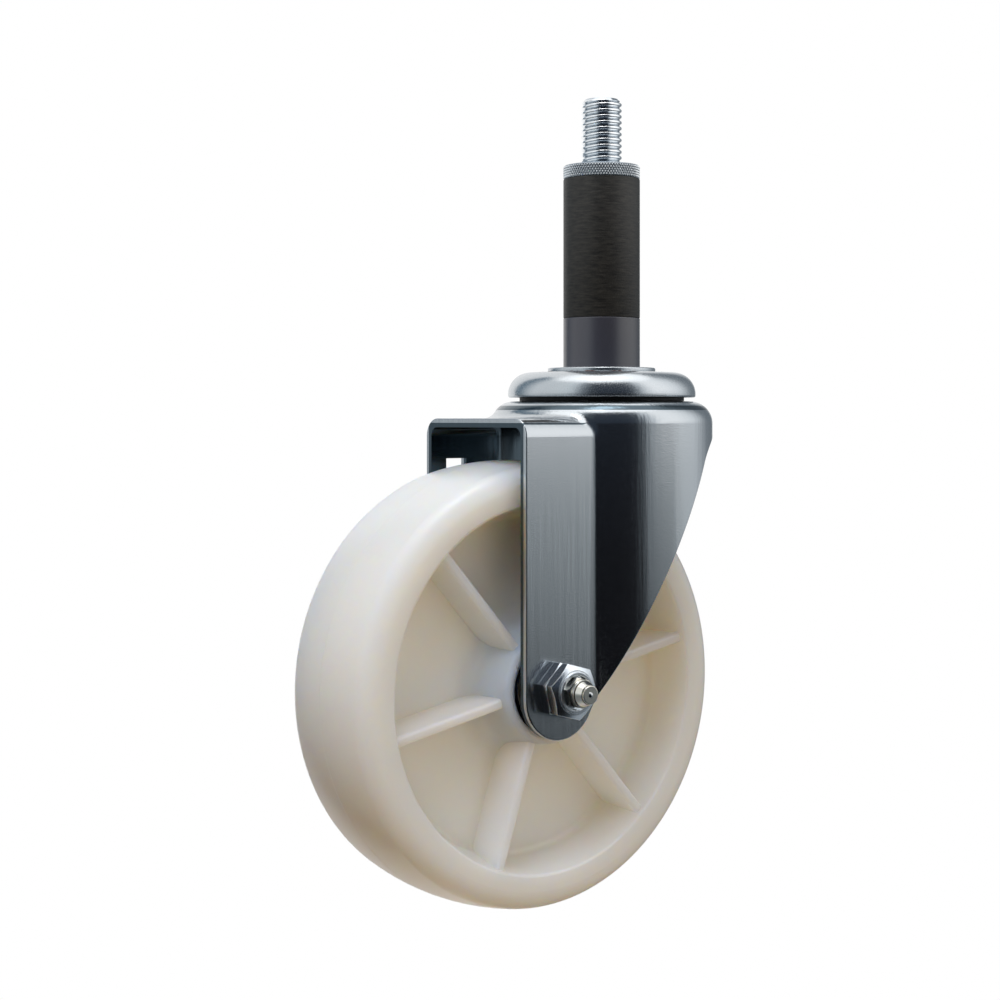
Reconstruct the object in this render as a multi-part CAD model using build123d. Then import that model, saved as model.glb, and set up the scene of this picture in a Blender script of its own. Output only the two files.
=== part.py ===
from build123d import *
import os
from math import cos, pi, radians, sin, sqrt, tan

# Swivel caster with an expanding stem, in millimetres.
# The origin is on the swivel axis, on the face where the end of the leg tube seats.
# +Z runs up the stem, the wheel trails towards -X and turns about an axle along Y.

# Wheel, moulded in one piece
wheel_diameter = 127.0
wheel_width = 38.1
tread_edge_drop = 2.3
shoulder_radius = 5.5
rim_depth = 11.5
rim_draft = 3.4
rim_mouth_edge = 0.8
web_thickness = 11.0
hub_radius = 15.5
hub_draft = 2.5
hub_edge = 1.5
hub_foot = 6.0
rib_count = 6
rib_first_angle = 12.0
rib_thickness = 5.0
rib_taper = 3.5
rib_edge = 1.0
rib_inset = 1.4
recess_fillet = 2.5

# Where the wheel lies under the seat and behind the swivel axis
wheel_top_drop = 27.0
trail = 35.0

# Fork, one pressed sheet
sheet = 2.6
fork_width = 48.0
head_radius = 32.9
head_shoulder = 6.5
head_top = -10.0
crown_top = -15.0
fold_radius = 5.2
crease_radius = 4.0
cut_edge = 0.4
leg_end_radius = 12.0
leg_end_below_axle = 2.1
rear_edge_angle = 61.1
rear_edge_arc = 15.0
skirt_bottom = -20.5
slot_width = 7.3
slot_height = 10.0
slot_ahead_of_axle = 3.0
slot_top = -26.8

# Swivel races: a cap above the fork head and a cup below it
cap_radius = 27.9
cap_sheet = 2.3
cap_shoulder = 7.0
cap_height = 7.4
cap_lip_turn = 1.1
upper_ball_diameter = 7.144
upper_ball_circle = 38.8
upper_ball_count = 16
lower_ball_diameter = 4.763
lower_ball_circle = 25.2
lower_ball_count = 16
race_clearance = 0.05
upper_ball_sunk = 0.75
lower_ball_sunk = 0.45
cup_radius = 16.4
cup_thickness = 2.4
cup_lip_wall = 1.3
cup_lip_height = 1.8
seal_wall = 1.2
seal_clearance = 0.15

# Stud and expander
stud_diameter = 12.0
stud_top = 80.0
stud_chamfer = 1.1
collar_radius = 7.4
collar_clearance = 0.8
expander_diameter = 22.8
spacer_length = 14.8
spacer_edge = 0.3
rubber_length = 41.4
clamp_nut_thickness = 3.2
clamp_nut_chamfer = 0.4
clamp_nut_clearance = 0.05
base_washer_diameter = 32.0
base_washer_thickness = 1.4
sleeve_clearance = 0.2
king_washer_radius = 10.5
king_washer_thickness = 1.5
king_nut_across_flats = 18.0
king_nut_height = 6.0
stud_tail = 1.5

# Axle and its hardware
axle_diameter = 9.525
axle_hole_clearance = 0.15
axle_nut_across_flats = 14.3
axle_jam_nut_height = 3.2
axle_lock_nut_height = 3.8
lock_nut_face_radius = 6.2
chamfer_angle = 28.0
nut_turn = -15.0
nut_collar_radius = 5.7
nut_collar_height = 0.5
bolt_end_recess = 1.4
bolt_head_height = 6.2
bolt_washer_radius = 9.0
bolt_washer_thickness = 1.6
grease_bore_radius = 1.5
cross_bore_radius = 1.2

# Grease fitting in the end of the axle
fitting_across_flats = 7.94
fitting_hex_height = 2.9
fitting_thread_radius = 3.1
fitting_thread_length = 5.0
fitting_body_radius = 3.75
fitting_body_length = 1.4
fitting_neck_radius = 3.15
fitting_neck_length = 0.3
fitting_cone_radius = 3.5
fitting_tip_radius = 2.75
fitting_cone_length = 1.8
fitting_groove_radius = 2.3
fitting_groove_length = 0.15
fitting_head_radius = 2.6
fitting_head_length = 0.65
fitting_head_edge = 0.25
fitting_bore_radius = 1.25
fitting_duct_radius = 0.7
check_ball_radius = 1.0
check_ball_mouth = 0.85
check_ball_clearance = 0.03
check_ball_travel = 0.5
spring_wire_radius = 0.18
spring_turns = 4
spring_length = 3.0
spring_gap = 0.05

# Wheel bearing
bushing_radius = 7.94
bushing_clearance = 0.1
roller_diameter = 4.0
roller_count = 10
roller_length = 30.0
roller_clearance = 0.03
shell_wall = 1.0
cage_gap = 0.35
cage_end_ring = 2.0
cage_pocket_clearance = 0.15
thrust_washer_radius = 11.5
thrust_washer_thickness = 1.0
hub_side_clearance = 0.3

# Places that follow from the sizes above
axle_drop = wheel_diameter / 2 + wheel_top_drop
rim_mouth_radius = wheel_diameter / 2 - rim_depth
rim_root_radius = rim_mouth_radius - rim_draft
leg_inner_face = fork_width / 2 - sheet
stud_radius = stud_diameter / 2
axle_radius = axle_diameter / 2
expander_radius = expander_diameter / 2
rubber_top = spacer_length + rubber_length
cap_top = -base_washer_thickness
cap_underside = cap_top - cap_sheet
cap_bottom = cap_top - cap_height
cap_inner_radius = cap_radius - cap_sheet
head_underside = head_top - sheet
upper_ball_radius = upper_ball_diameter / 2
lower_ball_radius = lower_ball_diameter / 2
upper_ball_z = head_top - upper_ball_sunk + upper_ball_radius
lower_ball_z = head_underside + lower_ball_sunk - lower_ball_radius
cup_top = lower_ball_z - lower_ball_radius + lower_ball_sunk
cup_bottom = cup_top - cup_thickness
king_nut_top = cup_bottom - king_washer_thickness
king_nut_bottom = king_nut_top - king_nut_height
leg_end_z = -axle_drop - leg_end_below_axle
near_face = -fork_width / 2
lock_nut_inner = near_face - axle_jam_nut_height
lock_nut_outer = lock_nut_inner - axle_lock_nut_height
bolt_end = lock_nut_outer - nut_collar_height + bolt_end_recess
bolt_head_seat = fork_width / 2 + bolt_washer_thickness
fitting_body_top = fitting_hex_height + fitting_body_length
fitting_cone_bottom = fitting_body_top + fitting_neck_length
fitting_cone_top = fitting_cone_bottom + fitting_cone_length
fitting_head_bottom = fitting_cone_top + fitting_groove_length
fitting_length = fitting_head_bottom + fitting_head_length
check_ball_depth = sqrt(check_ball_radius**2 - check_ball_mouth**2) + check_ball_clearance
check_ball_height = fitting_length - check_ball_depth
spring_top = check_ball_height - check_ball_radius - check_ball_travel - spring_gap
roller_circle = bushing_radius + roller_clearance + roller_diameter / 2
shell_inner_radius = roller_circle + roller_diameter / 2 + roller_clearance
shell_outer_radius = shell_inner_radius + shell_wall
hub_half = leg_inner_face - thrust_washer_thickness - hub_side_clearance
face_half = wheel_width / 2
web_half = web_thickness / 2
reach = axle_drop + wheel_diameter


def outline(*corners):
    """A closed outline through (x, y, radius) corners, each rounded by its own radius."""
    points = [Vector(x, y) for x, y, _ in corners]
    edges = []
    ends = []
    for i, (_, _, radius) in enumerate(corners):
        corner = points[i]
        back = (points[i - 1] - corner).normalized()
        ahead = (points[(i + 1) % len(points)] - corner).normalized()
        if radius == 0:
            ends.append((corner, corner))
            continue
        half = radians(back.get_angle(ahead) / 2)
        inward = (back + ahead).normalized()
        start = corner + back * (radius / tan(half))
        end = corner + ahead * (radius / tan(half))
        edges.append(ThreePointArc(start, corner + inward * (radius / sin(half) - radius), end))
        ends.append((start, end))
    for i, (start, _) in enumerate(ends):
        previous_end = ends[i - 1][1]
        if (start - previous_end).length > 1e-6:
            edges.append(Line(previous_end, start))
    return make_face(edges)


def turned(*corners):
    """A solid turned about the swivel axis from (radius, height, corner radius) points."""
    return revolve(Plane.XZ * outline(*corners), Axis.Z)


def rod(radius, bottom, top):
    """A plain cylinder on the swivel axis."""
    return Pos(0, 0, bottom) * Cylinder(radius, top - bottom, align=(Align.CENTER, Align.CENTER, Align.MIN))


def ring(inner, outer, bottom, top):
    """A washer or tube about the swivel axis."""
    return rod(outer, bottom, top) - rod(inner, bottom, top)


def inward(solid, y):
    """Lay a solid that stands on z = 0 on the axle line at y, running towards +Y."""
    return Pos(-trail, y, -axle_drop) * Rot(X=-90) * solid


def outward(solid, y):
    """The same, running towards -Y, the side of the grease fitting."""
    return Pos(-trail, y, -axle_drop) * Rot(X=90) * solid


def hexagon(across_flats, height, hole_radius, face_radius=0, both_faces=True):
    """A hexagon standing on z = 0, its corners turned off at the outer face, or at both, down to face_radius."""
    flat = across_flats / 2
    corner = flat / cos(pi / 6)
    face = face_radius if face_radius > 0 else flat
    slope = tan(radians(chamfer_angle))
    foot = [(flat, 0, 0), (corner, (corner - flat) * slope, 0)] if both_faces else [(corner, 0, 0)]
    shoulder = height - (corner - face) * slope
    blank = extrude(RegularPolygon(corner, 6), height)
    body = blank & turned((0, 0, 0), *foot, (corner, shoulder, 0), (face, height, 0), (0, height, 0))
    if hole_radius > 0:
        body -= rod(hole_radius, 0, height)
    return body


def ball_ring(circle, radius, count, height):
    """A full race of loose balls."""
    angles = [2 * pi * i / count for i in range(count)]
    return [Pos(circle / 2 * cos(a), circle / 2 * sin(a), height) * Sphere(radius) for a in angles]


def stem_stud():
    """Shouldered stud: threaded above and below a collar that spaces the two races."""
    tail = king_nut_bottom - stud_tail
    return turned(
        (0, tail, 0),
        (stud_radius - stud_chamfer, tail, 0),
        (stud_radius, tail + stud_chamfer, 0),
        (stud_radius, cup_top, 0),
        (collar_radius, cup_top, 0),
        (collar_radius, cap_underside, 0),
        (stud_radius, cap_underside, 0),
        (stud_radius, stud_top - stud_chamfer, 0),
        (stud_radius - stud_chamfer, stud_top, 0),
        (0, stud_top, 0),
    )


def clamp_nut():
    """Round nut that squeezes the rubber sleeve; its knurl is a surface finish."""
    top = rubber_top + clamp_nut_thickness
    rim = expander_radius - clamp_nut_chamfer
    bore = stud_radius + clamp_nut_clearance
    return turned(
        (bore, rubber_top, 0),
        (rim, rubber_top, 0),
        (expander_radius, rubber_top + clamp_nut_chamfer, 0),
        (expander_radius, top - clamp_nut_chamfer, 0),
        (rim, top, 0),
        (bore, top, 0),
    )


def spacer_tube():
    """Plastic tube under the rubber, its outer top edge eased."""
    bore = stud_radius + sleeve_clearance
    return turned(
        (bore, 0, 0),
        (expander_radius, 0, 0),
        (expander_radius, spacer_length, spacer_edge),
        (bore, spacer_length, 0),
    )


def base_washer():
    """Washer that carries the leg tube, stamped with rounded edges."""
    rounding = base_washer_thickness / 3
    outer = base_washer_diameter / 2
    return turned(
        (stud_radius, -base_washer_thickness, 0),
        (outer, -base_washer_thickness, rounding),
        (outer, 0, rounding),
        (stud_radius, 0, 0),
    )


def upper_race_cap():
    """Pressed dish over the upper balls, with a large shoulder and a rounded lip."""
    cap = turned(
        (stud_radius, cap_underside, 0),
        (cap_inner_radius, cap_underside, cap_height - cap_sheet - cap_lip_turn),
        (cap_inner_radius, cap_bottom + cap_lip_turn, 0),
        (cap_inner_radius - cap_lip_turn / 2, cap_bottom, 0),
        (cap_radius, cap_bottom, cap_lip_turn / 2),
        (cap_radius, cap_top, cap_shoulder - cap_lip_turn / 2),
        (stud_radius, cap_top, 0),
    )
    groove = Pos(0, 0, upper_ball_z) * Torus(upper_ball_circle / 2, upper_ball_radius + race_clearance)
    return cap - groove


def dust_seal():
    """Rubber ring held in the cap, its lip just clear of the fork head."""
    outer = cap_inner_radius - cap_lip_turn / 2
    inner = outer - seal_wall
    lip_top = cap_bottom + cap_lip_turn
    return turned(
        (inner, head_top + seal_clearance, 0),
        (outer - cap_lip_turn / 2, head_top + seal_clearance, 0),
        (outer - cap_lip_turn / 2, cap_bottom, 0),
        (outer, cap_bottom, 0),
        (cap_inner_radius, lip_top, 0),
        (outer, lip_top + seal_wall / 2, 0),
        (inner, lip_top + seal_wall / 2, 0),
    )


def lower_race_cup():
    """Hardened cup under the fork head, with a low lip outside the balls."""
    lip_inner = cup_radius - cup_lip_wall
    cup = turned(
        (stud_radius, cup_bottom, 0),
        (cup_radius, cup_bottom, cup_lip_wall),
        (cup_radius, cup_top + cup_lip_height, 0),
        (lip_inner, cup_top + cup_lip_height, 0),
        (lip_inner, cup_top, 0),
        (stud_radius, cup_top, 0),
    )
    groove = Pos(0, 0, lower_ball_z) * Torus(lower_ball_circle / 2, lower_ball_radius + race_clearance)
    return cup - groove


def king_nut():
    return Pos(0, 0, king_nut_bottom) * hexagon(king_nut_across_flats, king_nut_height, stud_radius)


def fork_form(inset):
    """Outer form of the pressing, or its inner form when inset is the sheet thickness."""
    radius = head_radius - inset
    drum_corner = (radius, head_top - inset, head_shoulder - inset)
    drum = turned((0, -reach, 0), (radius, -reach, 0), drum_corner, (0, head_top - inset, 0))
    half_width = fork_width / 2 - inset
    crown = crown_top - inset
    fold = fold_radius - inset
    section = outline(
        (-half_width, -reach, 0),
        (half_width, -reach, 0),
        (half_width, crown, fold),
        (-half_width, crown, fold),
    )
    front = trail + leg_end_radius + inset
    channel = extrude(Plane.YZ * section, -front)
    form = drum + channel
    return fillet(new_edges(drum, channel, combined=form), crease_radius)


def fork_side():
    """Side outline that trims the legs: straight front, round foot, slanted rear edge."""
    top = head_top + sheet
    slant = radians(rear_edge_angle)
    foot_x = -trail
    foot = Vector(foot_x, leg_end_z)
    tangent = foot + Vector(sin(slant), -cos(slant)) * leg_end_radius
    along = Vector(cos(slant), sin(slant))
    corner = tangent + along * ((skirt_bottom - tangent.Y) / along.Y)
    cut = rear_edge_arc * tan(slant / 2)
    arc_start = corner - along * cut
    arc_end = corner + Vector(cut, 0)
    arc_middle = Vector(arc_end.X, skirt_bottom - rear_edge_arc)
    arc_middle += Vector(-sin(slant / 2), cos(slant / 2)) * rear_edge_arc
    back = head_radius + sheet
    edges = [
        Line((foot_x - leg_end_radius, top), (foot_x - leg_end_radius, leg_end_z)),
        ThreePointArc((foot_x - leg_end_radius, leg_end_z), foot - Vector(0, leg_end_radius), tangent),
        Line(tangent, arc_start),
        ThreePointArc(arc_start, arc_middle, arc_end),
        Line(arc_end, (back, skirt_bottom)),
        Line((back, skirt_bottom), (back, top)),
        Line((back, top), (foot_x - leg_end_radius, top)),
    ]
    return extrude(Plane.XZ * make_face(edges), fork_width, both=True)


def fork():
    """One pressing: round race head, flat crown, two flat legs with wrapped rear skirts."""
    groove = Pos(0, 0, upper_ball_z) * Torus(upper_ball_circle / 2, upper_ball_radius + race_clearance)
    bead = Pos(0, 0, upper_ball_z) * Torus(upper_ball_circle / 2, upper_ball_radius + race_clearance + sheet)
    lower_groove = Pos(0, 0, lower_ball_z) * Torus(lower_ball_circle / 2, lower_ball_radius + race_clearance)
    outside = fork_form(0)
    inside = fork_form(sheet) - bead
    pressing = (outside - inside) & fork_side()
    middle = leg_inner_face + sheet / 2
    flats = [face for face in pressing.faces().filter_by(Plane.XZ) if abs(face.center().Y) > middle]
    rims = [edge for face in flats for edge in face.outer_wire().edges()]
    rims = [edge for edge in rims if edge.center().X < -trail and edge.center().Z < -wheel_top_drop]
    pressing = fillet(rims, cut_edge)
    pressing -= groove
    pressing -= lower_groove
    pressing -= rod(collar_radius + collar_clearance, head_underside - sheet, head_top + sheet)
    hole = axle_radius + axle_hole_clearance
    pressing -= inward(rod(hole, 0, fork_width + 2 * sheet), near_face - sheet)
    slot_place = Pos(-trail - slot_ahead_of_axle, middle, slot_top - slot_height / 2)
    return pressing - slot_place * Box(slot_width, 2 * sheet, slot_height)


def axle_bolt():
    """Bolt with a hexagon head on the far side and a grease bore from its threaded end."""
    shank = bolt_head_seat - bolt_end
    bolt = rod(axle_radius, 0, shank)
    bolt += Pos(0, 0, shank) * hexagon(axle_nut_across_flats, bolt_head_height, 0, both_faces=False)
    bolt -= rod(fitting_thread_radius, 0, fitting_thread_length)
    bolt -= rod(grease_bore_radius, fitting_thread_length, -bolt_end + 2 * cross_bore_radius)
    cross = Rot(Y=90) * Cylinder(cross_bore_radius, 2 * axle_diameter)
    bolt -= Pos(0, 0, -bolt_end) * cross
    return inward(bolt, bolt_end)


def axle_jam_nut():
    nut = hexagon(axle_nut_across_flats, axle_jam_nut_height, axle_radius, both_faces=False)
    return outward(Rot(Z=nut_turn) * nut, near_face)


def axle_lock_nut():
    """Outer nut with a thin raised collar round its bore."""
    nut = hexagon(axle_nut_across_flats, axle_lock_nut_height, axle_radius, lock_nut_face_radius)
    nut = Rot(Z=nut_turn) * nut
    nut += ring(axle_radius, nut_collar_radius, axle_lock_nut_height, axle_lock_nut_height + nut_collar_height)
    return outward(nut, lock_nut_inner)


def grease_fitting():
    """Hexagon, round body, neck, cone and a flat head that holds the check ball."""
    stem = turned(
        (0, -fitting_thread_length, 0),
        (fitting_thread_radius, -fitting_thread_length, 0),
        (fitting_thread_radius, fitting_hex_height / 2, 0),
        (fitting_body_radius, fitting_hex_height / 2, 0),
        (fitting_body_radius, fitting_body_top, 0),
        (fitting_neck_radius, fitting_body_top, 0),
        (fitting_neck_radius, fitting_cone_bottom, 0),
        (fitting_cone_radius, fitting_cone_bottom, 0),
        (fitting_tip_radius, fitting_cone_top, 0),
        (fitting_groove_radius, fitting_cone_top, 0),
        (fitting_groove_radius, fitting_head_bottom, 0),
        (fitting_head_radius, fitting_head_bottom, 0),
        (fitting_head_radius, fitting_length, fitting_head_edge),
        (0, fitting_length, 0),
    )
    fitting = stem + Rot(Z=nut_turn) * hexagon(fitting_across_flats, fitting_hex_height, 0)
    seat = Sphere(check_ball_radius + check_ball_clearance)
    fitting -= Pos(0, 0, check_ball_height) * seat
    fitting -= rod(fitting_bore_radius, spring_top - spring_length, check_ball_height)
    fitting -= rod(fitting_duct_radius, -fitting_thread_length, spring_top)
    return outward(fitting, bolt_end)


def check_ball():
    return outward(Pos(0, 0, check_ball_height) * Sphere(check_ball_radius), bolt_end)


def check_spring():
    """Small coil spring that keeps the check ball shut."""
    coil_radius = fitting_bore_radius - 1.5 * spring_wire_radius
    height = spring_length - 2 * spring_wire_radius
    path = Helix(pitch=height / spring_turns, height=height, radius=coil_radius)
    section = Plane(origin=path @ 0, z_dir=path % 0) * Circle(spring_wire_radius)
    coil = sweep(section, path=path, is_frenet=True)
    return outward(Pos(0, 0, spring_top - spring_length + spring_wire_radius) * coil, bolt_end)


def spanner_bushing():
    """Steel sleeve clamped between the legs, on which the rollers run."""
    length = 2 * leg_inner_face
    sleeve = ring(axle_radius + bushing_clearance, bushing_radius, 0, length)
    cross = Rot(Y=90) * Cylinder(cross_bore_radius, 2 * bushing_radius + sheet)
    sleeve -= Pos(0, 0, length / 2) * cross
    return inward(sleeve, -leg_inner_face)


def bearing_shell():
    return inward(ring(shell_inner_radius, shell_outer_radius, 0, 2 * hub_half), -hub_half)


def roller_angles():
    return [360 * i / roller_count for i in range(roller_count)]


def bearing_rollers():
    """Loose needle rollers, one solid each."""
    roller = Pos(roller_circle, 0, 0) * rod(roller_diameter / 2, 0, roller_length)
    return [inward(Rot(Z=angle) * roller, -roller_length / 2) for angle in roller_angles()]


def roller_cage():
    """Moulded cage: two end rings joined by bars between the rollers."""
    pocket_length = roller_length + 2 * cage_pocket_clearance
    length = pocket_length + 2 * cage_end_ring
    cage = ring(bushing_radius + cage_gap, shell_inner_radius - cage_gap, 0, length)
    pocket = Pos(roller_circle, 0, 0) * rod(
        roller_diameter / 2 + cage_pocket_clearance, cage_end_ring, cage_end_ring + pocket_length
    )
    for angle in roller_angles():
        cage -= Rot(Z=angle) * pocket
    return inward(cage, -length / 2)


def thrust_washers():
    """A washer against the inner face of each leg, beside the hub."""
    washer = ring(bushing_radius + bushing_clearance, thrust_washer_radius, 0, thrust_washer_thickness)
    return [inward(washer, leg_inner_face - thrust_washer_thickness), inward(washer, -leg_inner_face)]


def wheel_section():
    """Half section of the wheel: x along the axle, y out from it."""
    tread_edge = wheel_diameter / 2 - tread_edge_drop
    tread = ThreePointArc((-face_half, tread_edge), (0, wheel_diameter / 2), (face_half, tread_edge))
    side = [
        (face_half, tread_edge),
        (face_half, rim_mouth_radius),
        (web_half, rim_root_radius),
        (web_half, hub_radius + hub_draft),
        (hub_half, hub_radius),
        (hub_half, shell_outer_radius),
    ]
    other_side = [(-x, y) for x, y in reversed(side)]
    section = make_face([tread, Polyline(side + other_side)])

    def corners(x, y):
        return [v for v in section.vertices() if abs(abs(v.X) - x) < 1e-4 and abs(v.Y - y) < 1e-4]

    section = fillet(corners(face_half, tread_edge), shoulder_radius)
    section = fillet(corners(web_half, rim_root_radius), recess_fillet)
    section = fillet(corners(web_half, hub_radius + hub_draft), hub_foot)
    section = fillet(corners(face_half, rim_mouth_radius), rim_mouth_edge)
    return fillet(corners(hub_half, hub_radius), hub_edge)


def wheel():
    """One moulding: crowned tread, recessed web, hub and six ribs on each side."""
    body = Rot(Z=90) * revolve(wheel_section(), Axis.X)
    inner_end = (hub_radius + shell_outer_radius) / 2
    outer_end = rim_mouth_radius + rib_inset
    length = outer_end - inner_end
    height = face_half - rib_inset
    blank = extrude(Rectangle(length, rib_thickness), height, taper=rib_taper)
    long_edges = blank.faces().sort_by(Axis.Z)[-1].edges().filter_by(Axis.X)
    rib = Pos((inner_end + outer_end) / 2, 0, 0) * fillet(long_edges, rib_edge)
    for i in range(rib_count):
        turn = Rot(Y=-rib_first_angle - 360 * i / rib_count)
        body += turn * Rot(X=90) * rib
        body += turn * Rot(X=-90) * rib
    return Pos(-trail, 0, -axle_drop) * body


pieces = {
    "stem_stud": stem_stud(),
    "clamp_nut": clamp_nut(),
    "rubber_sleeve": ring(stud_radius + sleeve_clearance, expander_radius, spacer_length, rubber_top),
    "spacer_tube": spacer_tube(),
    "base_washer": base_washer(),
    "upper_race_cap": upper_race_cap(),
    "dust_seal": dust_seal(),
    "upper_balls": ball_ring(upper_ball_circle, upper_ball_radius, upper_ball_count, upper_ball_z),
    "fork": fork(),
    "lower_balls": ball_ring(lower_ball_circle, lower_ball_radius, lower_ball_count, lower_ball_z),
    "lower_race_cup": lower_race_cup(),
    "king_washer": ring(stud_radius, king_washer_radius, king_nut_top, cup_bottom),
    "king_nut": king_nut(),
    "axle_bolt": axle_bolt(),
    "axle_head_washer": inward(ring(axle_radius, bolt_washer_radius, 0, bolt_washer_thickness), fork_width / 2),
    "axle_jam_nut": axle_jam_nut(),
    "axle_lock_nut": axle_lock_nut(),
    "grease_fitting": grease_fitting(),
    "check_ball": check_ball(),
    "check_spring": check_spring(),
    "spanner_bushing": spanner_bushing(),
    "bearing_shell": bearing_shell(),
    "bearing_rollers": bearing_rollers(),
    "roller_cage": roller_cage(),
    "thrust_washers": thrust_washers(),
    "wheel": wheel(),
}

os.makedirs("parts", exist_ok=True)
for name, piece in pieces.items():
    shape = Compound(children=piece) if isinstance(piece, list) else piece
    export_step(shape, f"parts/{name}.step")
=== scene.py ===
import bpy
import math
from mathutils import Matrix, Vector


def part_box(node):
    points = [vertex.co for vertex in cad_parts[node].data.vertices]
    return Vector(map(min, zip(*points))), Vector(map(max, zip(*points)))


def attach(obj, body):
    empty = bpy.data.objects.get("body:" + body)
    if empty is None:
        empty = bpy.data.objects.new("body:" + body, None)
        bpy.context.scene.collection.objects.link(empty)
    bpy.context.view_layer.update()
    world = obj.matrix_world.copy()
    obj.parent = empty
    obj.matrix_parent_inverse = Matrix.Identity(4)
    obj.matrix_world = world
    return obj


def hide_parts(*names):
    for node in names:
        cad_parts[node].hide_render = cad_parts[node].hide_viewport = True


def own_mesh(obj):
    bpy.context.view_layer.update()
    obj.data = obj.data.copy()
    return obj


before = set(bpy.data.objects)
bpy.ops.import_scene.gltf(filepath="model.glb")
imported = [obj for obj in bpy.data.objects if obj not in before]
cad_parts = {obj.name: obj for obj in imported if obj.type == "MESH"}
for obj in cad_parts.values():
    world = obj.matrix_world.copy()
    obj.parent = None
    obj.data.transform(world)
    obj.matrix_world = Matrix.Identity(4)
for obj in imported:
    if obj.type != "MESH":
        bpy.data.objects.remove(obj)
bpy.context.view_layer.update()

MM = 0.001

# The studio: a room that is pale and cool above and brown near the floor, with white paper
# behind the caster and in its bright metal, and two lamps that only the dull pieces see.
LIGHT_ABOVE = "#eaeef4"
LIGHT_BELOW = "#6d4d18"
ROOM_STRENGTH = 0.7
# The room grows paler along this direction, from the floor's level to the ceiling's.
UPWARD = (0.3, -0.25, 0.92)
FLOOR_LEVEL = -0.65
CEILING_LEVEL = 0.8

scene = bpy.context.scene
scene.view_settings.view_transform = "Standard"


def linear(hex_colour, alpha=1.0):
    """An sRGB hex colour as linear red, green, blue and alpha."""
    channels = [int(hex_colour[i:i + 2], 16) / 255 for i in (1, 3, 5)]
    return [c / 12.92 if c <= 0.04045 else ((c + 0.055) / 1.055) ** 2.4 for c in channels] + [alpha]


def add_node(tree, kind, settings=None, inputs=None):
    """Add a node, set its properties, and fill its inputs with values, sockets or nodes' first outputs."""
    node = tree.nodes.new(kind)
    for name, value in (settings or {}).items():
        setattr(node, name, value)
    for key, value in (inputs or {}).items():
        if isinstance(value, bpy.types.Node):
            value = value.outputs[0]
        if isinstance(value, bpy.types.NodeSocket):
            tree.links.new(value, node.inputs[key])
        else:
            node.inputs[key].default_value = value
    return node


# A colour Mix node takes its two colours at inputs 6 and 7, and gives their mixture at output 2.
world = bpy.data.worlds.new("studio_room")
world.use_nodes = True
room_tree = world.node_tree
room_tree.nodes.clear()
rays = add_node(room_tree, "ShaderNodeLightPath").outputs
seen = add_node(room_tree, "ShaderNodeMath", {"operation": "MAXIMUM"},
                {0: rays["Is Camera Ray"], 1: rays["Is Glossy Ray"]})
seen = add_node(room_tree, "ShaderNodeMath", {"operation": "MAXIMUM"},
                {0: seen, 1: rays["Is Transmission Ray"]})
direction = add_node(room_tree, "ShaderNodeTexCoord")
level = add_node(room_tree, "ShaderNodeVectorMath", {"operation": "DOT_PRODUCT"},
                 {0: direction.outputs["Generated"], 1: UPWARD})
level = add_node(room_tree, "ShaderNodeMapRange",
                 inputs={"Value": level.outputs["Value"],
                         "From Min": FLOOR_LEVEL, "From Max": CEILING_LEVEL})
light = add_node(room_tree, "ShaderNodeMix", {"data_type": "RGBA"},
                 {0: level, 6: linear(LIGHT_BELOW), 7: linear(LIGHT_ABOVE)})
room = add_node(room_tree, "ShaderNodeBackground",
                inputs={"Color": light.outputs[2], "Strength": ROOM_STRENGTH})
paper = add_node(room_tree, "ShaderNodeBackground",
                 inputs={"Color": linear("#ffffff"), "Strength": 1.0})
backdrop = add_node(room_tree, "ShaderNodeMixShader", inputs={0: seen, 1: room, 2: paper})
add_node(room_tree, "ShaderNodeOutputWorld", inputs={"Surface": backdrop})
scene.world = world


def softbox(name, place, aim, width, height, power, colour):
    """A rectangular lamp at place, facing aim, both in metres. Reflections see the cards below instead."""
    lamp = bpy.data.lights.new(name, "AREA")
    lamp.shape = "RECTANGLE"
    lamp.size = width
    lamp.size_y = height
    lamp.energy = power
    lamp.color = linear(colour)[:3]
    holder = bpy.data.objects.new(name, lamp)
    holder.location = place
    holder.rotation_euler = (Vector(aim) - Vector(place)).to_track_quat("-Z", "Y").to_euler()
    holder.visible_glossy = False
    scene.collection.objects.link(holder)


softbox("top_left_softbox", place=(-0.8, -0.25, 1.0), aim=(-0.03, 0, -0.07),
        width=0.9, height=0.8, power=11.5, colour="#ebf1ff")
softbox("warm_bounce", place=(-0.05, -0.5, -0.5), aim=(-0.04, 0, -0.05),
        width=0.4, height=0.4, power=0.8, colour="#ffe2b4")

# The reflection cards: grey, black and white cards stand in a ring round the caster, and two
# white ones hang over it. They give plated steel its dark, soft-edged bands and its highlights.

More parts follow.
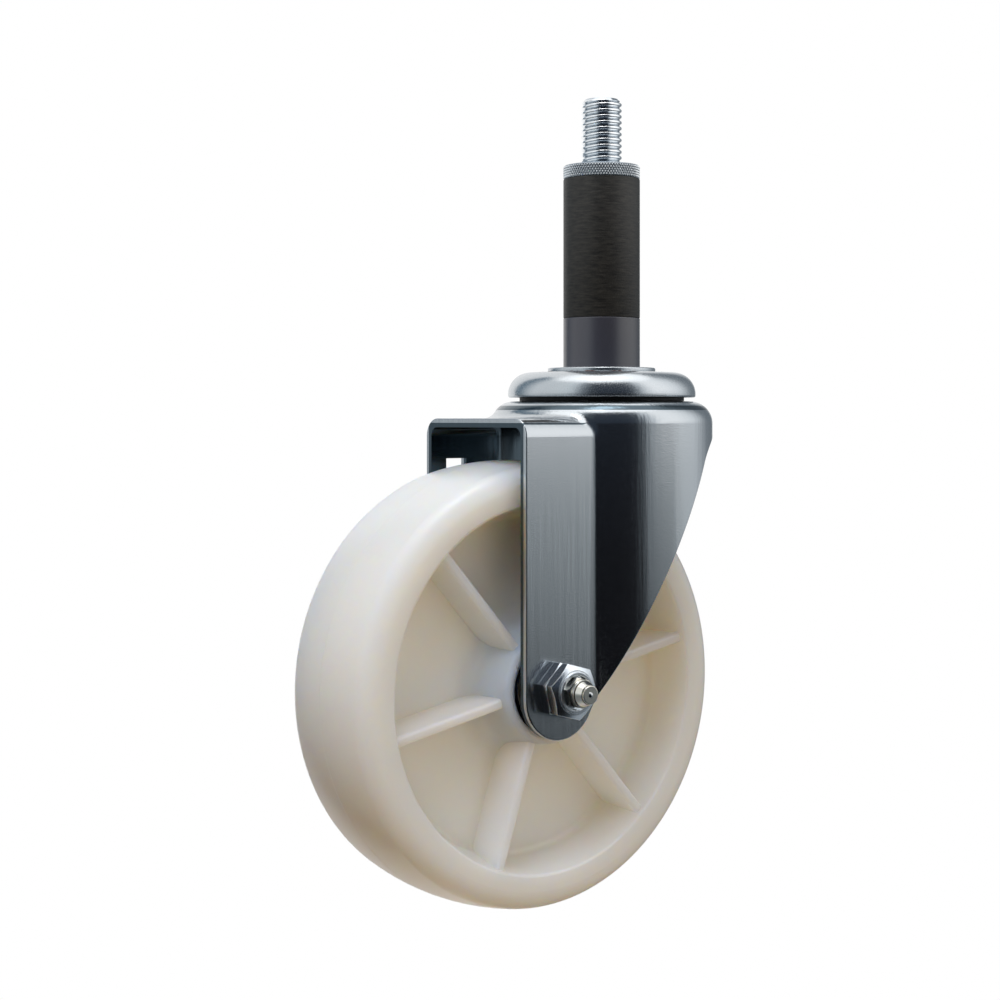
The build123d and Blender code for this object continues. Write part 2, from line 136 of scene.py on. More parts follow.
# Each row is a bearing in degrees (0 along +X, 90 along +Y) and the card's tone near the floor,
# at eye level and above it.
CARD_TONES = [
    (-262, "#4a5258", "#666f76", "#4f6473"),
    (-248, "#4a5258", "#757e85", "#5d7280"),
    (-234, "#8a9095", "#b4babe", "#b0b6bb"),
    (-222, "#9aa0a4", "#ccd0d2", "#d5d8da"),
    (-205, "#8a9195", "#b4b9bc", "#cdd0d3"),
    (-185, "#70777c", "#a0a7ab", "#d0d4d6"),
    (-168, "#4b5258", "#7f878c", "#d3d9dd"),
    (-152, "#2c3136", "#474d53", "#5d666e"),
    (-142, "#14181d", "#14171c", "#232a33"),
    (-134, "#08090d", "#05060a", "#262e39"),
    (-97, "#08090d", "#05060a", "#262e39"),
    (-89, "#050607", "#2b3035", "#3a424b"),
    (-80, "#0a0c0e", "#868c90", "#b9bfc4"),
    (-66, "#2b3034", "#8d9396", "#ffffff"),
    (-57, "#2c3236", "#969c9f", "#ffffff"),
    (-50, "#2e3438", "#9fa5a8", "#ffffff"),
    (-46, "#6a7176", "#ccd1d3", "#ffffff"),
    (-20, "#949ba0", "#d6dadd", "#e4e7e9"),
    (6, "#7f868c", "#8b9298", "#757c82"),
    (30, "#747b81", "#6f767c", "#626a71"),
    (50, "#c6cbce", "#e4e7e8", "#ffffff"),
]
# The distance and height in metres of each row of points, and its share of the low and the high tone.
CARD_ROWS = [
    (0.15, -1.0, 1, 0),
    (0.8, -0.95, 1, 0),
    (1.2, -0.7, 1, 0),
    (1.2, -0.3, 1, 0),
    (1.2, -0.22, 0.5, 0),
    (1.2, -0.13, 0.1, 0),
    (1.2, -0.03, 0, 0),
    (1.2, -0.01, 0, 0.6),
    (1.2, 0.14, 0, 1),
    (1.2, 1.75, 0, 1),
]
HIGH_GAIN = 1.3


def reflection_card(name, points, faces, tones, strength=1.0):
    """A stage card that only reflections see, with a linear colour at each point."""
    mesh = bpy.data.meshes.new(name)
    mesh.from_pydata(points, [], faces)
    colours = mesh.color_attributes.new("tone", "FLOAT_COLOR", "POINT")
    for point, tone in enumerate(tones):
        colours.data[point].color = tone
    paint = bpy.data.materials.new(name)
    paint.use_nodes = True
    paint.node_tree.nodes.clear()
    tone = add_node(paint.node_tree, "ShaderNodeAttribute", {"attribute_name": "tone"})
    glow = add_node(paint.node_tree, "ShaderNodeEmission",
                    inputs={"Color": tone.outputs["Color"], "Strength": strength})
    add_node(paint.node_tree, "ShaderNodeOutputMaterial", inputs={"Surface": glow})
    mesh.materials.append(paint)
    card = bpy.data.objects.new(name, mesh)
    card.visible_camera = False
    card.visible_diffuse = False
    card.visible_shadow = False
    scene.collection.objects.link(card)


def ring_of_cards():
    """The cards round the caster, one column of points for each bearing."""
    points = []
    tones = []
    for bearing, *hexes in CARD_TONES:
        angle = math.radians(bearing)
        low, eye, high = (linear(tone) for tone in hexes)
        for distance, height, low_share, high_share in CARD_ROWS:
            points.append((distance * math.cos(angle), distance * math.sin(angle), height))
            eye_share = 1 - low_share - high_share
            tones.append([low_share * a + HIGH_GAIN * high_share * c + eye_share * b
                          for a, b, c in zip(low, eye, high)])
    rows = len(CARD_ROWS)
    faces = []
    for column in range(len(CARD_TONES) - 1):
        for row in range(rows - 1):
            corner = column * rows + row
            faces.append((corner, corner + rows, corner + rows + 1, corner + 1))
    reflection_card("ring_of_cards", points, faces, tones)


def ceiling_card(name, left, right, front, back, height, strength):
    """A white card that hangs level over the caster, its sides in metres from the swivel axis."""
    corners = [(left, front, height), (right, front, height), (right, back, height), (left, back, height)]
    reflection_card(name, corners, [(0, 1, 2, 3)], [linear("#ffffff")] * 4, strength)


ring_of_cards()
ceiling_card("overhead_card", left=-1.4, right=1.4, front=-1.4, back=1.0, height=2.2, strength=1.6)
ceiling_card("overhead_strip", left=-0.5, right=0.3, front=-0.4, back=0.1, height=2.1, strength=7.0)

# The stem stud: a steel bar turned with a collar, its thread rolled, then plated with bright zinc.
# The thread is one helical groove between rounded crests, and the shank inside the sleeve is plain.
STUD_RADIUS = 6.0 * MM
STUD_CHAMFER = 1.1 * MM
THREAD_PITCH = 1.75 * MM
THREAD_DEPTH = 0.75 * MM
THREAD_FLANK_DEGREES = 54
THREAD_CREST_CUT = 0.42 * MM
THREAD_ROUNDING = 0.4 * MM
THREAD_TURN = -0.18 * MM
THREAD_SEGMENTS = 96
THREAD_ROWS = 480
# The thread's root is painted grey as shade inside the first radius, fading out by the second.
THREAD_PAINTED_SHADE_RADIUS = 5.3 * MM
THREAD_UNSHADED_RADIUS = 5.6 * MM
PLAIN_SHANK_TOP = 47 * MM
COLLAR_BOTTOM = -16.463 * MM
CAP_SHEET = 2.3 * MM


def principled(name, colour, metallic=0.0, roughness=0.5):
    """A material with one principled shader; returns the material, its tree and the shader."""
    material = bpy.data.materials.new(name)
    material.use_nodes = True
    tree = material.node_tree
    tree.nodes.clear()
    shader = add_node(tree, "ShaderNodeBsdfPrincipled",
                      inputs={"Base Color": linear(colour), "Metallic": metallic, "Roughness": roughness})
    add_node(tree, "ShaderNodeOutputMaterial", inputs={"Surface": shader})
    return material, tree, shader


def grooved_zinc_with_painted_shade(name, root_radius, crest_radius, painted_root_shade, roughness, crest_colour="#f4f7f9"):
    """Zinc on a grooved round piece, with painted shade that darkens the root and fades out between two
    radii.
    """
    material, tree, shader = principled(name, crest_colour, metallic=1.0, roughness=roughness)
    place = add_node(tree, "ShaderNodeTexCoord")
    flat = add_node(tree, "ShaderNodeVectorMath", {"operation": "MULTIPLY"},
                    {0: place.outputs["Object"], 1: (1, 1, 0)})
    out = add_node(tree, "ShaderNodeVectorMath", {"operation": "LENGTH"}, {0: flat})
    height = add_node(tree, "ShaderNodeMapRange",
                      inputs={"Value": out.outputs["Value"],
                              "From Min": root_radius, "From Max": crest_radius})
    # The root colour is painted shade, strongest at the root radius and gone at the crest radius.
    colour = add_node(tree, "ShaderNodeMix", {"data_type": "RGBA"},
                      {0: height, 6: linear(painted_root_shade), 7: linear(crest_colour)})
    tree.links.new(colour.outputs[2], shader.inputs["Base Color"])
    return material


# Bright zinc plate on a rolled thread: smooth white crests, and painted shade that greys the root.
thread_zinc = grooved_zinc_with_painted_shade("bright_zinc_on_thread", THREAD_PAINTED_SHADE_RADIUS, THREAD_UNSHADED_RADIUS,
                           painted_root_shade="#c0c9d1", roughness=0.17)


def turned_mesh(name, profile, bored=False, segments=128):
    """A form turned about the swivel axis; (radius, height) points go up its outside and down its bore."""
    points = []
    faces = []
    rings = []
    for radius, height in profile:
        if radius == 0:
            rings.append([len(points)] * segments)
            points.append((0, 0, height))
            continue
        rings.append(list(range(len(points), len(points) + segments)))
        for i in range(segments):
            angle = 2 * math.pi * i / segments
            points.append((radius * math.cos(angle), radius * math.sin(angle), height))
    for lower, upper in zip(rings, rings[1:] + rings[:1] if bored else rings[1:]):
        for i in range(segments):
            j = (i + 1) % segments
            corners = [lower[i], lower[j], upper[j], upper[i]]
            face = [c for k, c in enumerate(corners) if c not in corners[:k]]
            if len(face) > 2:
                faces.append(face)
    mesh = bpy.data.meshes.new(name)
    mesh.from_pydata(points, [], faces)
    piece = bpy.data.objects.new(name, mesh)
    scene.collection.objects.link(piece)
    return piece


# One tree cuts helical grooves into a tube that it adds to the turned form: a single start
# for the stud's thread, many crossed starts for the clamp nut's knurl.
groove_tree = bpy.data.node_groups.new("helical_grooves", "GeometryNodeTree")
GROOVE_SIZES = ["Radius", "Bottom", "Top", "Pitch", "Phase", "Flank Height", "Crest Cut", "Depth",
                "Rounding", "End Radius"]
GROOVE_COUNTS = ["Segments", "Rows", "Starts", "Crossed"]
groove_tree.interface.new_socket("Geometry", in_out="INPUT", socket_type="NodeSocketGeometry")
for size in GROOVE_SIZES:
    groove_tree.interface.new_socket(size, in_out="INPUT", socket_type="NodeSocketFloat")
for count in GROOVE_COUNTS:
    groove_tree.interface.new_socket(count, in_out="INPUT", socket_type="NodeSocketInt")
groove_tree.interface.new_socket("Material", in_out="INPUT", socket_type="NodeSocketMaterial")
groove_tree.interface.new_socket("Geometry", in_out="OUTPUT", socket_type="NodeSocketGeometry")
given = add_node(groove_tree, "NodeGroupInput").outputs

# The plain tube, from its bottom to its top.
length = add_node(groove_tree, "ShaderNodeMath", {"operation": "SUBTRACT"},
                  {0: given["Top"], 1: given["Bottom"]})
tube = add_node(groove_tree, "GeometryNodeMeshCylinder", {"fill_type": "NONE"},
                {"Vertices": given["Segments"], "Side Segments": given["Rows"],
                 "Radius": given["Radius"], "Depth": length})
middle = add_node(groove_tree, "ShaderNodeMath", {"operation": "ADD"},
                  {0: given["Top"], 1: given["Bottom"]})
middle = add_node(groove_tree, "ShaderNodeMath", {"operation": "MULTIPLY"}, {0: middle, 1: 0.5})
lift = add_node(groove_tree, "ShaderNodeCombineXYZ", inputs={"Z": middle})
tube = add_node(groove_tree, "GeometryNodeTransform", inputs={"Geometry": tube, "Translation": lift})

# How many grooves lie between a point and the starting line: round the tube, and up it.
place = add_node(groove_tree, "GeometryNodeInputPosition")
place = add_node(groove_tree, "ShaderNodeSeparateXYZ", inputs={0: place}).outputs
turns = add_node(groove_tree, "ShaderNodeMath", {"operation": "ARCTAN2"}, {0: place["Y"], 1: place["X"]})
turns = add_node(groove_tree, "ShaderNodeMath", {"operation": "DIVIDE"}, {0: turns, 1: 2 * math.pi})
turns = add_node(groove_tree, "ShaderNodeMath", {"operation": "MULTIPLY"}, {0: turns, 1: given["Starts"]})
rise = add_node(groove_tree, "ShaderNodeMath", {"operation": "SUBTRACT"},
                {0: place["Z"], 1: given["Phase"]})
rise = add_node(groove_tree, "ShaderNodeMath", {"operation": "DIVIDE"}, {0: rise, 1: given["Pitch"]})


def groove_depth(phase):
    """How deep the surface lies at a phase: 0 on a crest, the full depth half a turn of the phase away."""
    wave = add_node(groove_tree, "ShaderNodeMath", {"operation": "MULTIPLY"}, {0: phase, 1: 2.0})
    wave = add_node(groove_tree, "ShaderNodeMath", {"operation": "PINGPONG"}, {0: wave, 1: 1.0})
    flank = add_node(groove_tree, "ShaderNodeMath", {"operation": "MULTIPLY"},
                     {0: wave, 1: given["Flank Height"]})
    flank = add_node(groove_tree, "ShaderNodeMath", {"operation": "SUBTRACT"},
                     {0: flank, 1: given["Crest Cut"]})
    crest = add_node(groove_tree, "ShaderNodeMath", {"operation": "SMOOTH_MAX"},
                     {0: flank, 1: 0.0, 2: given["Rounding"]})
    return add_node(groove_tree, "ShaderNodeMath", {"operation": "SMOOTH_MIN"},
                    {0: crest, 1: given["Depth"], 2: given["Rounding"]})


right_hand = add_node(groove_tree, "ShaderNodeMath", {"operation": "SUBTRACT"}, {0: rise, 1: turns})
left_hand = add_node(groove_tree, "ShaderNodeMath", {"operation": "ADD"}, {0: rise, 1: turns})
crossing = add_node(groove_tree, "ShaderNodeMath", {"operation": "MULTIPLY"},
                    {0: groove_depth(left_hand), 1: given["Crossed"]})
depth = add_node(groove_tree, "ShaderNodeMath", {"operation": "MAXIMUM"},
                 {0: groove_depth(right_hand), 1: crossing})

# Each point moves in by its depth, and the ends are chamfered down to the end radius.
radius = add_node(groove_tree, "ShaderNodeMath", {"operation": "SUBTRACT"}, {0: given["Radius"], 1: depth})
below_top = add_node(groove_tree, "ShaderNodeMath", {"operation": "SUBTRACT"},
                     {0: given["Top"], 1: place["Z"]})
over_bottom = add_node(groove_tree, "ShaderNodeMath", {"operation": "SUBTRACT"},
                       {0: place["Z"], 1: given["Bottom"]})
chamfer = add_node(groove_tree, "ShaderNodeMath", {"operation": "MINIMUM"}, {0: below_top, 1: over_bottom})
chamfer = add_node(groove_tree, "ShaderNodeMath", {"operation": "ADD"},
                   {0: given["End Radius"], 1: chamfer})
radius = add_node(groove_tree, "ShaderNodeMath", {"operation": "MINIMUM"}, {0: radius, 1: chamfer})
share = add_node(groove_tree, "ShaderNodeMath", {"operation": "DIVIDE"}, {0: radius, 1: given["Radius"]})
across = add_node(groove_tree, "ShaderNodeMath", {"operation": "MULTIPLY"}, {0: place["X"], 1: share})
along = add_node(groove_tree, "ShaderNodeMath", {"operation": "MULTIPLY"}, {0: place["Y"], 1: share})
moved = add_node(groove_tree, "ShaderNodeCombineXYZ", inputs={"X": across, "Y": along, "Z": place["Z"]})
tube = add_node(groove_tree, "GeometryNodeSetPosition", inputs={"Geometry": tube, "Position": moved})

both = add_node(groove_tree, "GeometryNodeJoinGeometry")
groove_tree.links.new(given["Geometry"], both.inputs[0])
groove_tree.links.new(tube.outputs[0], both.inputs[0])
whole = add_node(groove_tree, "GeometryNodeRealizeInstances", inputs={0: both})
whole = add_node(groove_tree, "GeometryNodeSetMaterial",
                 inputs={"Geometry": whole, "Material": given["Material"]})
add_node(groove_tree, "NodeGroupOutput", inputs={0: whole})


def keep_as_mesh(piece, sharp_angle=35):
    """Replace a piece's mesh by what its modifiers make of it, smooth except at sharper angles."""
    bpy.context.view_layer.update()
    made = piece.evaluated_get(bpy.context.evaluated_depsgraph_get())
    mesh = bpy.data.meshes.new_from_object(made)
    piece.modifiers.clear()
    piece.data = mesh
    mesh.shade_smooth()
    mesh.set_sharp_from_angle(angle=math.radians(sharp_angle))


def cut_grooves(piece, values):
    """Run the groove tree on a piece with these inputs by name, and keep the result as a plain mesh."""
    modifier = piece.modifiers.new("helical_grooves", "NODES")
    modifier.node_group = groove_tree
    for item in groove_tree.interface.items_tree:
        if item.in_out == "INPUT" and item.name in values:
            modifier[item.identifier] = values[item.name]
    keep_as_mesh(piece)


stud_low, stud_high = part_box("stem_stud")
tail_bottom, stud_top, collar_radius = stud_low[2], stud_high[2], stud_high[0]
collar_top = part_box("upper_race_cap")[1][2] - CAP_SHEET
end_radius = STUD_RADIUS - STUD_CHAMFER
thread_flank = THREAD_PITCH / 2 * math.tan(math.radians(THREAD_FLANK_DEGREES))
stud = turned_mesh("stem_stud_thread", [
    (0, tail_bottom), (end_radius, tail_bottom), (STUD_RADIUS, tail_bottom + STUD_CHAMFER),
    (STUD_RADIUS, COLLAR_BOTTOM), (collar_radius, COLLAR_BOTTOM), (collar_radius, collar_top),
    (STUD_RADIUS, collar_top), (STUD_RADIUS, PLAIN_SHANK_TOP), (end_radius, PLAIN_SHANK_TOP),
    (end_radius, stud_top), (0, stud_top),
])
cut_grooves(stud, {
    "Radius": STUD_RADIUS, "Bottom": PLAIN_SHANK_TOP, "Top": stud_top,
    "Pitch": THREAD_PITCH, "Phase": THREAD_TURN, "Flank Height": thread_flank,
    "Crest Cut": THREAD_CREST_CUT, "Depth": THREAD_DEPTH, "Rounding": THREAD_ROUNDING,
    "End Radius": end_radius,
    "Segments": THREAD_SEGMENTS, "Rows": THREAD_ROWS, "Starts": 1,
    "Crossed": 0, "Material": thread_zinc,
})
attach(stud, "mount")
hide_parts("stem_stud")

# The clamp nut: a round steel nut, turned, knurled by a pair of wheels and plated.
# The knurl is two crossed sets of fine grooves, which leave rows of small diamonds. The real
# diamonds are about 0.65 mm wide, and they are drawn 0.85 mm wide so that they show.
NUT_THICKNESS = 4.0 * MM
NUT_BORE = 6.05 * MM
NUT_CHAMFER = 0.4 * MM
KNURL_DEPTH = 0.3 * MM
KNURL_STARTS = 84
KNURL_PITCH = 1.4 * MM
KNURL_FLANK_HEIGHT = 0.5 * MM
KNURL_CREST_CUT = 0.17 * MM
KNURL_ROUNDING = 0.03 * MM
# Deeper than this below the crest, the knurl's grooves are painted grey as shade.
KNURL_UNSHADED_TIP = 0.1 * MM
POINTS_PER_START = 8
KNURL_ROWS = 26

nut_low, nut_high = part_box("clamp_nut")
nut_bottom, nut_radius = nut_low[2], nut_high[0]
nut_top = nut_bottom + NUT_THICKNESS
core_radius = nut_radius - KNURL_DEPTH
edge_rise = NUT_CHAMFER - KNURL_DEPTH

# Bright zinc plate on a rolled knurl: white points over grooves painted dull grey as shade, all
# of them too small for a clear reflection.
knurl_zinc = grooved_zinc_with_painted_shade("bright_zinc_on_knurl", core_radius, nut_radius - KNURL_UNSHADED_TIP,
                          painted_root_shade="#8d99a4", roughness=0.42)
clamp_nut = turned_mesh("clamp_nut_knurled", [
    (nut_radius - NUT_CHAMFER, nut_bottom), (core_radius, nut_bottom + edge_rise),
    (core_radius, nut_top - edge_rise), (nut_radius - NUT_CHAMFER, nut_top),
    (NUT_BORE, nut_top), (NUT_BORE, nut_bottom),
], bored=True)
cut_grooves(clamp_nut, {
    "Radius": nut_radius, "Bottom": nut_bottom + edge_rise, "Top": nut_top - edge_rise,
    "Pitch": KNURL_PITCH, "Phase": 0.0, "Flank Height": KNURL_FLANK_HEIGHT,
    "Crest Cut": KNURL_CREST_CUT, "Depth": KNURL_DEPTH, "Rounding": KNURL_ROUNDING,
    "End Radius": core_radius,
    "Segments": POINTS_PER_START * KNURL_STARTS, "Rows": KNURL_ROWS, "Starts": KNURL_STARTS,
    "Crossed": 1, "Material": knurl_zinc,
})
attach(clamp_nut, "expander_nut")
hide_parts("clamp_nut")

# The rubber sleeve: black rubber tube, cut to length and ground to size between centres.
# The clamp nut squeezes it against the spacer, which shortens it from the top.
SLEEVE_BORE = 6.2 * MM
SLEEVE_EDGE = 0.25 * MM
RAG_HEIGHT = 0.5 * MM
RAG_STRETCH = 6
RAG_RELIEF = 0.08 * MM
# Nearly all of a noise pattern lies between these two values.
NOISE_LOW = 0.3
NOISE_HIGH = 0.7

sleeve_low, sleeve_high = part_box("rubber_sleeve")
sleeve_bottom, sleeve_top, sleeve_radius = sleeve_low[2], sleeve_high[2], sleeve_high[0]
corner = SLEEVE_EDGE * (1 - math.sqrt(0.5))
sleeve = turned_mesh("ground_rubber_sleeve", [
    (sleeve_radius - SLEEVE_EDGE, sleeve_bottom), (sleeve_radius - corner, sleeve_bottom + corner),
    (sleeve_radius, sleeve_bottom + SLEEVE_EDGE), (sleeve_radius, sleeve_top - SLEEVE_EDGE),
    (sleeve_radius - corner, sleeve_top - corner), (sleeve_radius - SLEEVE_EDGE, sleeve_top),
    (SLEEVE_BORE, sleeve_top), (SLEEVE_BORE, sleeve_bottom),
], bored=True)


def surface_noise(tree, grain, stretch=(1, 1, 1), detail=2.0):
    """Noise on object coordinates, its grain so many metres across and longer where stretch is larger."""
    place = add_node(tree, "ShaderNodeTexCoord")
    scale = tuple(1 / (grain * s) for s in stretch)
    mapping = add_node(tree, "ShaderNodeMapping",
                       inputs={"Vector": place.outputs["Object"], "Scale": scale})
    return add_node(tree, "ShaderNodeTexNoise",
                    inputs={"Vector": mapping, "Scale": 1.0, "Detail": detail})


# Ground rubber: the wheel drags it into short crosswise rags. They break the light up, so the
# tube looks dry and brownish black, greyer at its sides. Real rags are a few tenths of a
# millimetre high, and these are drawn 0.5 mm high and 3 mm long so that they show.
ground_rubber, rubber_tree, rubber_shader = principled("ground_rubber", "#242320", roughness=0.52)
rags = surface_noise(rubber_tree, RAG_HEIGHT, stretch=(RAG_STRETCH, RAG_STRETCH, 1), detail=3.0)
tint = add_node(rubber_tree, "ShaderNodeMapRange",
                inputs={"Value": rags, "From Min": NOISE_LOW, "From Max": NOISE_HIGH})
rubber_colour = add_node(rubber_tree, "ShaderNodeMix", {"data_type": "RGBA"},
                         {0: tint, 6: linear("#131210"), 7: linear("#312f2a")})
rubber_tree.links.new(rubber_colour.outputs[2], rubber_shader.inputs["Base Color"])
rag_bump = add_node(rubber_tree, "ShaderNodeBump",
                    inputs={"Strength": 0.7, "Distance": RAG_RELIEF, "Height": rags})
rubber_tree.links.new(rag_bump.outputs[0], rubber_shader.inputs["Normal"])
sleeve.data.materials.append(ground_rubber)
keep_as_mesh(sleeve)
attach(sleeve, "mount")
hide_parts("rubber_sleeve")
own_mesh(sleeve)

# The spacer: extruded grey-violet PVC tube, sawn to length, with its edge eased.
# Its smooth extruded skin, faintly lined by the die, gives broad soft reflections along its length.
DIE_LINE_WIDTH = 0.6 * MM
DIE_LINE_STRETCH = 40
DIE_LINE_RELIEF = 0.01 * MM


def dress(node_name, material):
    """Give every slot of a CAD piece one material."""
    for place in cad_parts[node_name].material_slots:
        place.material = material


extruded_pvc, pvc_tree, pvc_shader = principled("extruded_pvc", "#3a3a42", roughness=0.32)
die_lines = surface_noise(pvc_tree, DIE_LINE_WIDTH, stretch=(1, 1, DIE_LINE_STRETCH))
die_bump = add_node(pvc_tree, "ShaderNodeBump",
                    inputs={"Strength": 0.2, "Distance": DIE_LINE_RELIEF, "Height": die_lines})
pvc_tree.links.new(die_bump.outputs[0], pvc_shader.inputs["Normal"])
pvc_shader.inputs["Specular IOR Level"].default_value = 1.0
dress("spacer_tube", extruded_pvc)

# The base washer: stamped from steel sheet and plated with bright zinc in a barrel.
# The tumbling leaves a fine satin grain, which is drawn coarser than real so that it shows.
WASHER_COLOUR = "#c6cbcf"
SATIN_GRAIN = 0.4 * MM
STREAK_WIDTH = 1.6 * MM
STREAK_WEIGHT = 3.0
SMOOTHER_GRAIN = 0.04
ROUGHER_GRAIN = 0.05
RUST_COLOUR = "#7a3d22"
RUST_HEIGHT = 0.5 * MM
RUST_PATCH = 5 * MM
RUST_STARTS = 0.5
RUST_FULL = 0.58
RUST_COVER = 0.85


def pressed_zinc(name, colour, roughness, relief, streak=1):
    """Zinc on sheet with a satin grain, and marks so many times longer in height than across."""
    material, tree, shader = principled(name, colour, metallic=1.0, roughness=roughness)
    grain = surface_noise(tree, SATIN_GRAIN, detail=3.0)
    streaks = surface_noise(tree, STREAK_WIDTH, stretch=(1, 1, streak), detail=3.0)
    height = add_node(tree, "ShaderNodeMath", {"operation": "MULTIPLY_ADD"},
                      {0: streaks, 1: STREAK_WEIGHT, 2: grain})
    bump = add_node(tree, "ShaderNodeBump",
                    inputs={"Strength": 1.0, "Distance": relief, "Height": height})
    tree.links.new(bump.outputs[0], shader.inputs["Normal"])
    gloss = add_node(tree, "ShaderNodeMapRange",
                     inputs={"Value": grain, "From Min": NOISE_LOW, "From Max": NOISE_HIGH,
                             "To Min": roughness - SMOOTHER_GRAIN, "To Max": roughness + ROUGHER_GRAIN})
    tree.links.new(gloss.outputs[0], shader.inputs["Roughness"])
    return material, tree, shader


# A little red rust has crept out from under the washer and stains the foot of its edge in patches.
washer_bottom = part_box("base_washer")[0][2]
stained_zinc, stain_tree, stain_shader = pressed_zinc(
    "rust_stained_zinc", WASHER_COLOUR, roughness=0.26, relief=0.008 * MM)
foot = add_node(stain_tree, "ShaderNodeTexCoord")
foot = add_node(stain_tree, "ShaderNodeSeparateXYZ", inputs={0: foot.outputs["Object"]})
foot = add_node(stain_tree, "ShaderNodeMapRange",
                inputs={"Value": foot.outputs["Z"], "From Min": washer_bottom + RUST_HEIGHT / 2,
                        "From Max": washer_bottom + RUST_HEIGHT, "To Min": 1.0, "To Max": 0.0})
patches = surface_noise(stain_tree, RUST_PATCH)
patches = add_node(stain_tree, "ShaderNodeMapRange",
                   inputs={"Value": patches, "From Min": RUST_STARTS, "From Max": RUST_FULL,
                           "To Max": RUST_COVER})
stain = add_node(stain_tree, "ShaderNodeMath", {"operation": "MULTIPLY"}, {0: foot, 1: patches})
washer_colour = add_node(stain_tree, "ShaderNodeMix", {"data_type": "RGBA"},
                         {0: stain, 6: linear(WASHER_COLOUR), 7: linear(RUST_COLOUR)})
stain_tree.links.new(washer_colour.outputs[2], stain_shader.inputs["Base Color"])
dress("base_washer", stained_zinc)

# The race cap and cup and the two plain washers: pressed from steel sheet and plated the same way.
# Shallow pressing draws no streaks, so they show only the even satin grain.
satin_zinc, _, _ = pressed_zinc("satin_zinc_on_sheet", "#c6cbcf", roughness=0.24, relief=0.005 * MM)
for name in ("upper_race_cap", "lower_race_cup", "king_washer", "axle_head_washer"):
    dress(name, satin_zinc)

# The dust seal: a ring of black rubber, moulded and then pressed into the lip of the race cap.
# Its matt skin stays dark and shows no highlight.
moulded_rubber, _, _ = principled("moulded_rubber", "#121212", roughness=0.6)
dress("dust_seal", moulded_rubber)

# The fork: one steel sheet, deep drawn, pierced, trimmed and plated with bright zinc.
# It turns between the two races of balls, and the press leaves long faint streaks down its sides.
FORK_COLOUR = "#c3c8cc"
# The colour of the painted shade on the fork's inner side.
PAINTED_INNER_SHADE = "#4f5c64"
DRAW_STREAK = 22
DRUM_MIDDLE = 31.6 * MM
HEAD_MIDDLE = -11.3 * MM
CHANNEL_MIDDLE = 22.7 * MM
CROWN_MIDDLE = -16.3 * MM

# Zinc plate on drawn sheet: bright outside, with streaks that blur each reflection downwards.
# The inner side is painted dark as painted shade: wherever a point lies within the middle of the
# sheet, in the drum under the head or in the channel behind it.
drawn_zinc, fork_tree, fork_shader = pressed_zinc(
    "drawn_zinc_on_sheet", FORK_COLOUR, roughness=0.18, relief=0.02 * MM, streak=DRAW_STREAK)
spot = add_node(fork_tree, "ShaderNodeTexCoord")
spot = add_node(fork_tree, "ShaderNodeSeparateXYZ", inputs={0: spot.outputs["Object"]}).outputs
x_squared = add_node(fork_tree, "ShaderNodeMath", {"operation": "MULTIPLY"}, {0: spot["X"], 1: spot["X"]})
y_squared = add_node(fork_tree, "ShaderNodeMath", {"operation": "MULTIPLY"}, {0: spot["Y"], 1: spot["Y"]})
from_axis = add_node(fork_tree, "ShaderNodeMath", {"operation": "ADD"}, {0: x_squared, 1: y_squared})
from_axis = add_node(fork_tree, "ShaderNodeMath", {"operation": "SQRT"}, {0: from_axis})
from_middle = add_node(fork_tree, "ShaderNodeMath", {"operation": "ABSOLUTE"}, {0: spot["Y"]})

# Each limit gives 1 where the point lies on its inner side.
LIMITS = {"drum wall": (from_axis, DRUM_MIDDLE), "head": (spot["Z"], HEAD_MIDDLE),
          "channel wall": (from_middle, CHANNEL_MIDDLE), "crown": (spot["Z"], CROWN_MIDDLE),
          "axis": (spot["X"], 0.0)}
within = {}
for limit, (measure, most) in LIMITS.items():
    within[limit] = add_node(fork_tree, "ShaderNodeMath", {"operation": "LESS_THAN"}, {0: measure, 1: most})
in_drum = add_node(fork_tree, "ShaderNodeMath", {"operation": "MULTIPLY"},
                   {0: within["drum wall"], 1: within["head"]})
in_channel = add_node(fork_tree, "ShaderNodeMath", {"operation": "MULTIPLY"},
                      {0: within["channel wall"], 1: within["crown"]})
in_channel = add_node(fork_tree, "ShaderNodeMath", {"operation": "MULTIPLY"},
                      {0: in_channel, 1: within["axis"]})
# Painted shade: the inner side of the drum and of the channel is coloured darker.
painted_inner_shade = add_node(fork_tree, "ShaderNodeMath", {"operation": "MAXIMUM"}, {0: in_drum, 1: in_channel})
fork_colour = add_node(fork_tree, "ShaderNodeMix", {"data_type": "RGBA"},
                       {0: painted_inner_shade, 6: linear(FORK_COLOUR), 7: linear(PAINTED_INNER_SHADE)})
fork_tree.links.new(fork_colour.outputs[2], fork_shader.inputs["Base Color"])
dress("fork", drawn_zinc)

# The nuts and the axle bolt: cold-forged steel with a thinner, bluer zinc plate.
# Barrel plating rounds their edges by about 0.4 mm, and the rounded edges catch the light.
EDGE_ROUNDING = 0.4 * MM
FORGED_GRAIN = 0.6 * MM
FORGED_RELIEF = 0.02 * MM

blue_zinc, blue_tree, blue_shader = principled("blue_zinc_plate", "#e9eff5", metallic=1.0, roughness=0.22)
forged = surface_noise(blue_tree, FORGED_GRAIN, detail=3.0)
worn_edge = add_node(blue_tree, "ShaderNodeBevel", {"samples": 6}, {"Radius": EDGE_ROUNDING})
forged_bump = add_node(blue_tree, "ShaderNodeBump",
                       inputs={"Strength": 1.0, "Distance": FORGED_RELIEF, "Height": forged,
                               "Normal": worn_edge})
blue_tree.links.new(forged_bump.outputs[0], blue_shader.inputs["Normal"])
for name in ("king_nut", "axle_bolt", "axle_jam_nut", "axle_lock_nut"):
    dress(name, blue_zinc)

# The grease fitting: turned from steel bar, plated with nickel and screwed into the bolt's end.
# Nickel is warmer and paler than zinc, and its turned skin reflects clearly.
nickel_plate, _, _ = principled("nickel_plate", "#e6e3da", metallic=1.0, roughness=0.2)
dress("grease_fitting", nickel_plate)

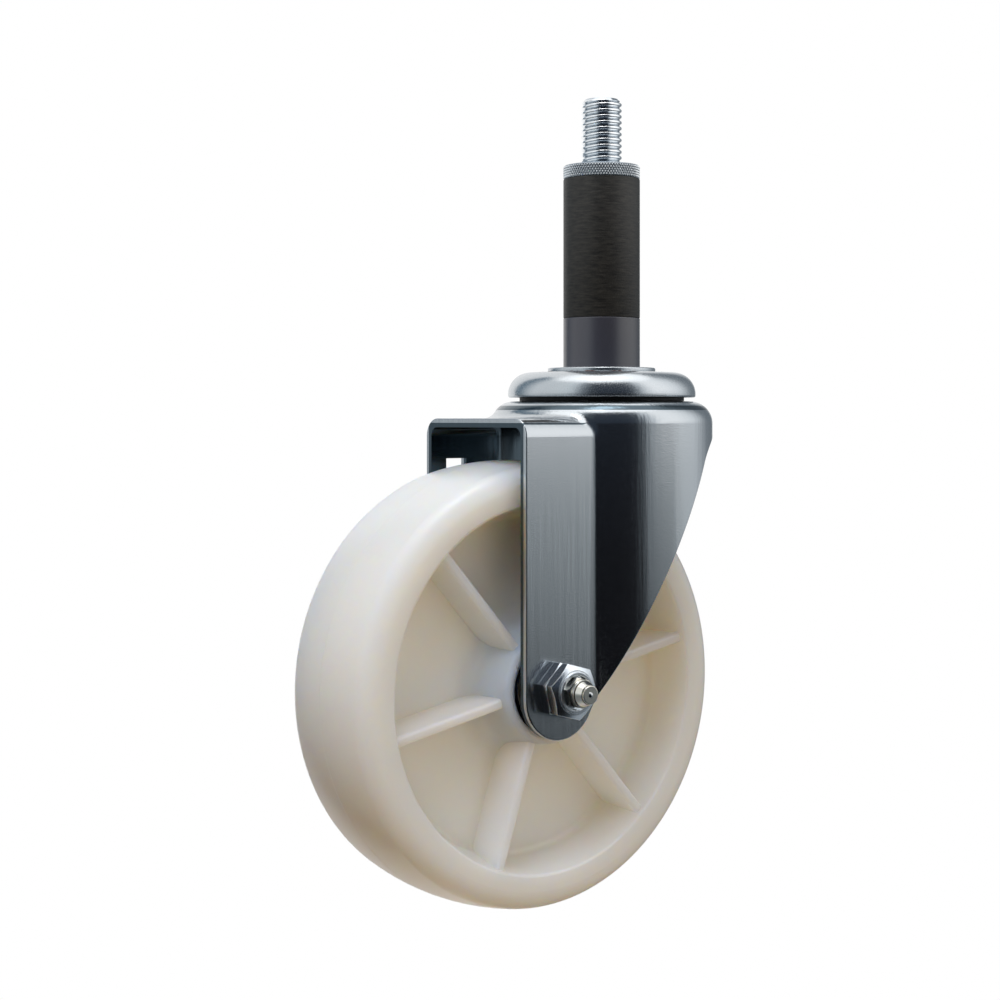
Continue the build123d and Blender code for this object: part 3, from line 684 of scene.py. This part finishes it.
# The bearings and the fitting's check valve: hardened steel, ground and polished, and a cage of
# moulded nylon for the rollers. The steel reflects clearly, and the cage is cream and dull.
bearing_steel, _, _ = principled("ground_bearing_steel", "#c9cbcc", metallic=1.0, roughness=0.12)
for name in ("upper_balls", "lower_balls", "check_ball", "check_spring", "spanner_bushing",
             "bearing_shell", "bearing_rollers", "thrust_washers"):
    dress(name, bearing_steel)
cage_nylon, _, _ = principled("cage_nylon", "#d9d4c4", roughness=0.45)
dress("roller_cage", cage_nylon)

# The wheel: natural nylon, injection moulded in one shot and polished by the mould.
# Light sinks into it and comes out warmer, so edges and ribs look soft and milky.
WHEEL_MILKINESS = 26 * MM
SEAM_WIDTH = 0.35 * MM
SEAM_HEIGHT = 0.12 * MM

natural_nylon, nylon_tree, nylon_shader = principled("natural_nylon", "#f3eee5", roughness=0.3)
nylon_shader.inputs["Subsurface Weight"].default_value = 1.0
nylon_shader.inputs["Subsurface Radius"].default_value = (1.0, 0.75, 0.5)
nylon_shader.inputs["Subsurface Scale"].default_value = WHEEL_MILKINESS

# The two halves of the mould leave a faint seam round the middle of the tread.
across = add_node(nylon_tree, "ShaderNodeTexCoord")
across = add_node(nylon_tree, "ShaderNodeSeparateXYZ", inputs={0: across.outputs["Object"]})
across = add_node(nylon_tree, "ShaderNodeMath", {"operation": "ABSOLUTE"}, {0: across.outputs["Y"]})
seam = add_node(nylon_tree, "ShaderNodeMapRange",
                inputs={"Value": across, "From Min": 0.0, "From Max": SEAM_WIDTH,
                        "To Min": 1.0, "To Max": 0.0})
seam_bump = add_node(nylon_tree, "ShaderNodeBump",
                     inputs={"Strength": 1.0, "Distance": SEAM_HEIGHT, "Height": seam})
nylon_tree.links.new(seam_bump.outputs[0], nylon_shader.inputs["Normal"])
dress("wheel", natural_nylon)

# The camera stands level with the fork's head, 0.59 m away, 40 degrees left of the near leg's face.
# Its lens is shifted down, so the upright edges of the caster stay parallel. The sensor's width
# and the focal length are in millimetres.
CAMERA_PLACE = (-376.38 * MM, -449.17 * MM, -14.98 * MM)
CAMERA_BEARING = -36.995
SENSOR_WIDTH = 36
FOCAL_LENGTH = 70.58
LENS_SHIFT = -0.0818
NEAREST_SEEN = 10 * MM

camera_data = bpy.data.cameras.new("camera")
camera_data.sensor_width = SENSOR_WIDTH
camera_data.lens = FOCAL_LENGTH
camera_data.shift_y = LENS_SHIFT
camera_data.clip_start = NEAREST_SEEN
camera = bpy.data.objects.new("camera", camera_data)
camera.location = CAMERA_PLACE
camera.rotation_euler = (math.radians(90), 0, math.radians(CAMERA_BEARING))
scene.collection.objects.link(camera)
scene.camera = camera
